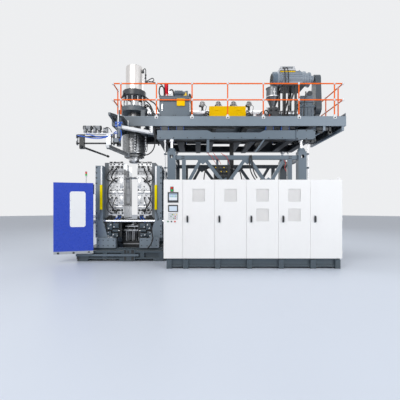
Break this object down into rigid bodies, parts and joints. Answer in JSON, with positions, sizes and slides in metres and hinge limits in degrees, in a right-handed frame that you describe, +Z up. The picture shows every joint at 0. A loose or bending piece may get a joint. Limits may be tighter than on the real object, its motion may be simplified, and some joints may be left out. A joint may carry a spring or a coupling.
{
  "type": "blow moulding machine",
  "caption": "Drum blow moulding machine: extruder platform with accumulator head, sliding mould clamp, take-out arm, blue safety cover and row of control cabinets",
  "frame": {"origin": "Centre of the bounding box's footprint, on the floor", "axes": "X runs from the clamp and safety cover at the left to the extruder drive at the right, Y from the cabinet doors to the back, Z up"},
  "size_m": [8.3751, 3.746, 6.172],
  "materials": {
    "slate_paint": "satin slate-grey enamel on steel",
    "cabinet_paint": "fine-textured off-white powder coat on sheet steel",
    "dark_paint": "satin black enamel",
    "blue_paint": "gloss royal-blue enamel on sheet steel",
    "orange_paint": "gloss orange enamel on tube",
    "yellow_paint": "gloss yellow enamel on sheet steel",
    "fitting_white": "galvanised castings with a pale coat",
    "mould_steel": "milled aluminium mould blocks",
    "steel": "turned and ground steel",
    "chrome": "hard-chromed and polished bar",
    "tray_zinc": "zinc-plated tray with pale modules",
    "casting": "machined cast iron",
    "device_plastic": "grey moulded plastic",
    "black_plastic": "black moulded plastic",
    "green_plastic": "green push-button cap",
    "red_plastic": "red mushroom cap",
    "window_plastic": "white moulded rim with a pale pane",
    "hose_rubber": "black hydraulic hose"
  },
  "bodies": {
    "frame": {"clamp_base": "slate_paint", "plinth": "slate_paint", "cabinet_frame": "cabinet_paint", "switchgear": "tray_zinc", "control_panel": "cabinet_paint", "panel_devices": "device_plastic", "lower_columns": "slate_paint", "lower_trusses": "slate_paint", "cover_track": "slate_paint", "blow_base": "steel"},
    "start_push": {"start_button": "green_plastic"},
    "selector_knob": {"selector_switch": "black_plastic"},
    "stop_push": {"e_stop": "red_plastic"},
    "clamp_left": {"platen_left": "slate_paint", "mould_left": "mould_steel", "tie_bars": "chrome"},
    "clamp_right": {"platen_right": "slate_paint", "mould_right": "mould_steel"},
    "blow_lift": {"blow_slide": "steel"},
    "cover": {"safety_cover": "blue_paint", "cover_window": "window_plastic"},
    "lift": {"lift_frame": "slate_paint", "jack_screws": "steel"},
    "deck": {"platform": "slate_paint", "guard_tubes": "orange_paint", "guard_fittings": "fitting_white", "head_stand": "dark_paint", "head_cylinder": "steel", "head_rods": "steel", "head_body": "steel", "die_ring": "steel", "barrel": "steel", "barrel_cover": "yellow_paint", "blowers": "dark_paint", "hopper": "tray_zinc", "gearbox": "slate_paint", "motor": "slate_paint", "motor_stand": "dark_paint", "belt_guard": "slate_paint", "hydraulic_unit": "slate_paint", "robot_beam": "cabinet_paint", "head_hose": "hose_rubber"},
    "die_core": {"mandrel": "steel"},
    "piston": {"piston_rod": "chrome"},
    "screw_rotor": {"screw": "steel"},
    "pulley_driven": {"pulley_big": "casting"},
    "pulley_motor": {"pulley_small": "casting"},
    "takeout": {"robot_crossbeam": "tray_zinc"},
    "grip_right": {"arm_right": "tray_zinc"},
    "grip_left": {"arm_left": "dark_paint"},
    "door_1_body": {"door_1": "cabinet_paint"},
    "handle_1_body": {"handle_1": "black_plastic"},
    "door_2_body": {"door_2": "cabinet_paint"},
    "handle_2_body": {"handle_2": "black_plastic"},
    "door_3_body": {"door_3": "cabinet_paint"},
    "handle_3_body": {"handle_3": "black_plastic"},
    "door_4_body": {"door_4": "cabinet_paint"},
    "handle_4_body": {"handle_4": "black_plastic"},
    "door_5_body": {"door_5": "cabinet_paint"},
    "handle_5_body": {"handle_5": "black_plastic"}
  },
  "joints": [
    {"name": "door_1_hinge", "type": "hinge", "parent": "frame", "child": "door_1_body", "pos_m": [0.2485, -1.831, 1.259], "axis": [0, 0, 1], "range_deg": [0, 90]},
    {"name": "handle_1_turn", "type": "hinge", "parent": "door_1_body", "child": "handle_1_body", "pos_m": [-0.4395, -1.825, 1.26], "axis": [0, 1, 0], "range_deg": [0, 90]},
    {"name": "door_2_hinge", "type": "hinge", "parent": "frame", "child": "door_2_body", "pos_m": [1.0575, -1.831, 1.259], "axis": [0, 0, 1], "range_deg": [0, 90]},
    {"name": "handle_2_turn", "type": "hinge", "parent": "door_2_body", "child": "handle_2_body", "pos_m": [0.3695, -1.825, 1.26], "axis": [0, 1, 0], "range_deg": [0, 90]},
    {"name": "door_3_hinge", "type": "hinge", "parent": "frame", "child": "door_3_body", "pos_m": [1.8665, -1.831, 1.259], "axis": [0, 0, 1], "range_deg": [0, 90]},
    {"name": "handle_3_turn", "type": "hinge", "parent": "door_3_body", "child": "handle_3_body", "pos_m": [1.1785, -1.825, 1.26], "axis": [0, 1, 0], "range_deg": [0, 90]},
    {"name": "door_4_hinge", "type": "hinge", "parent": "frame", "child": "door_4_body", "pos_m": [2.6755, -1.831, 1.259], "axis": [0, 0, 1], "range_deg": [0, 90]},
    {"name": "handle_4_turn", "type": "hinge", "parent": "door_4_body", "child": "handle_4_body", "pos_m": [1.9875, -1.825, 1.26], "axis": [0, 1, 0], "range_deg": [0, 90]},
    {"name": "door_5_hinge", "type": "hinge", "parent": "frame", "child": "door_5_body", "pos_m": [3.4845, -1.831, 1.259], "axis": [0, 0, 1], "range_deg": [0, 90]},
    {"name": "handle_5_turn", "type": "hinge", "parent": "door_5_body", "child": "handle_5_body", "pos_m": [2.7965, -1.825, 1.26], "axis": [0, 1, 0], "range_deg": [0, 90]},
    {"name": "start_press", "type": "slide", "parent": "frame", "child": "start_push", "axis": [0, 1, 0], "range_m": [0, 0.004], "stiffness_N_per_m": 900},
    {"name": "selector_turn", "type": "hinge", "parent": "frame", "child": "selector_knob", "pos_m": [-0.8415, -1.825, 1.198], "axis": [0, 1, 0], "range_deg": [-45, 45]},
    {"name": "stop_press", "type": "slide", "parent": "frame", "child": "stop_push", "axis": [0, 1, 0], "range_m": [0, 0.006]},
    {"name": "clamp_left_slide", "type": "slide", "parent": "frame", "child": "clamp_left", "axis": [1, 0, 0], "range_m": [-0.1, 0.207]},
    {"name": "clamp_right_slide", "type": "slide", "parent": "frame", "child": "clamp_right", "axis": [-1, 0, 0], "range_m": [-0.1, 0.207]},
    {"name": "blow_lift_slide", "type": "slide", "parent": "frame", "child": "blow_lift", "axis": [0, 0, 1], "range_m": [0, 0.12]},
    {"name": "cover_slide", "type": "slide", "parent": "frame", "child": "cover", "axis": [1, 0, 0], "range_m": [0, 1.15]},
    {"name": "lift_slide", "type": "slide", "parent": "frame", "child": "lift", "axis": [0, 0, 1], "range_m": [-0.05, 0.3]},
    {"name": "deck_slide", "type": "slide", "parent": "lift", "child": "deck", "axis": [1, 0, 0], "range_m": [-0.05, 0.05]},
    {"name": "die_gap_slide", "type": "slide", "parent": "deck", "child": "die_core", "axis": [0, 0, 1], "range_m": [-0.015, 0.015]},
    {"name": "piston_slide", "type": "slide", "parent": "deck", "child": "piston", "axis": [0, 0, 1], "range_m": [-0.35, 0]},
    {"name": "screw_turn", "type": "hinge", "parent": "deck", "child": "screw_rotor", "pos_m": [-0.1825, 0.445, 4.65], "axis": [1, 0, 0], "continuous": true},
    {"name": "pulley_turn", "type": "hinge", "parent": "deck", "child": "pulley_driven", "pos_m": [3.6675, 0.445, 4.81], "axis": [1, 0, 0], "continuous": true},
    {"name": "motor_turn", "type": "hinge", "parent": "deck", "child": "pulley_motor", "pos_m": [3.6675, 0.445, 5.765], "axis": [1, 0, 0], "continuous": true},
    {"name": "takeout_turn", "type": "hinge", "parent": "deck", "child": "takeout", "pos_m": [-2.3725, -1.075, 3.3], "axis": [0, 0, 1], "range_deg": [0, 70]},
    {"name": "grip_right_slide", "type": "slide", "parent": "takeout", "child": "grip_right", "axis": [-1, 0, 0], "range_m": [0, 0.1]},
    {"name": "grip_left_slide", "type": "slide", "parent": "takeout", "child": "grip_left", "axis": [1, 0, 0], "range_m": [0, 0.1]}
  ],
  "couplings": [
    {"joint": "clamp_right_slide", "follows": "clamp_left_slide", "ratio": 1},
    {"joint": "grip_right_slide", "follows": "grip_left_slide", "ratio": 1},
    {"joint": "screw_turn", "follows": "pulley_turn", "ratio": 0.083333},
    {"joint": "motor_turn", "follows": "pulley_turn", "ratio": 1.5833}
  ]
}
